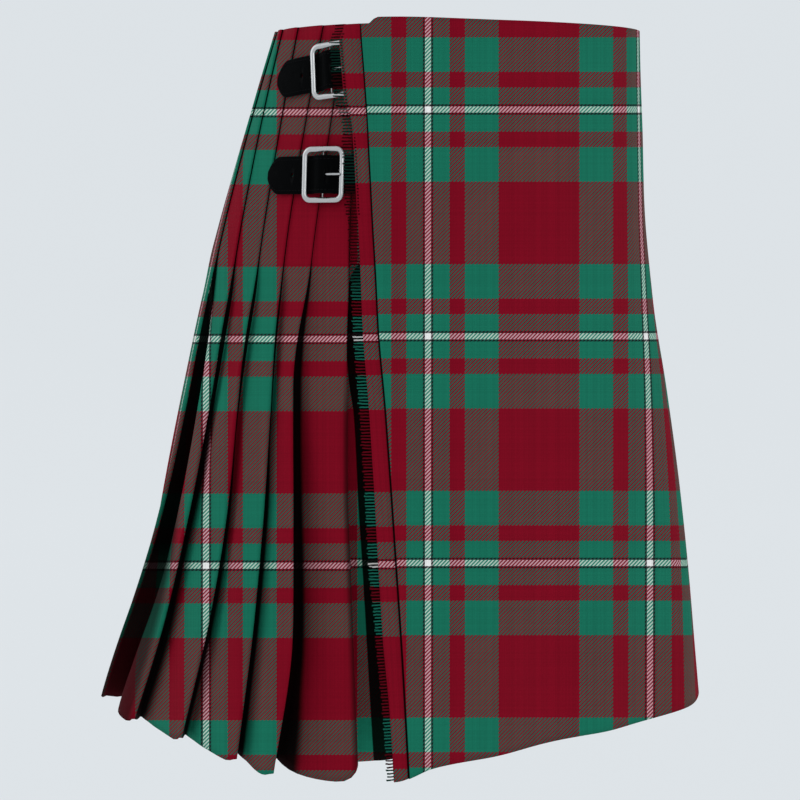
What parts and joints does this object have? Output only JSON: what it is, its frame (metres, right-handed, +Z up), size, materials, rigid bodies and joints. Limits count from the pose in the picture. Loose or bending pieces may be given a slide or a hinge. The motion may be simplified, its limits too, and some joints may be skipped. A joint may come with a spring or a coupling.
{
  "type": "scottish kilt",
  "caption": "Knee-length pleated wrap kilt in its worn form, with a flat fringed front apron, knife pleats round the back and leather side straps with buckles",
  "frame": {"origin": "centre of the waist opening, level with the top edge", "axes": "+Z up, the wearer faces -Y, the wearer's left is +X"},
  "size_m": [0.5363, 0.4303, 0.6195],
  "materials": {
    "tartan_wool": "red and green tartan in a 2/2 wool twill",
    "black_leather": "smooth black",
    "nickel": "nickel plate"
  },
  "bodies": {
    "root": {"over_apron": "tartan_wool", "apron_fringe": "tartan_wool", "under_apron": "tartan_wool", "pleats_right": "tartan_wool", "pleats_left": "tartan_wool", "strap_upper": "black_leather", "chape_upper": "black_leather", "buckle_upper": "nickel", "prong_upper": "nickel", "strap_lower": "black_leather", "chape_lower": "black_leather", "buckle_lower": "nickel", "prong_lower": "nickel", "strap_left": "black_leather", "chape_left": "black_leather", "buckle_left": "nickel", "prong_left": "nickel"}
  },
  "joints": []
}
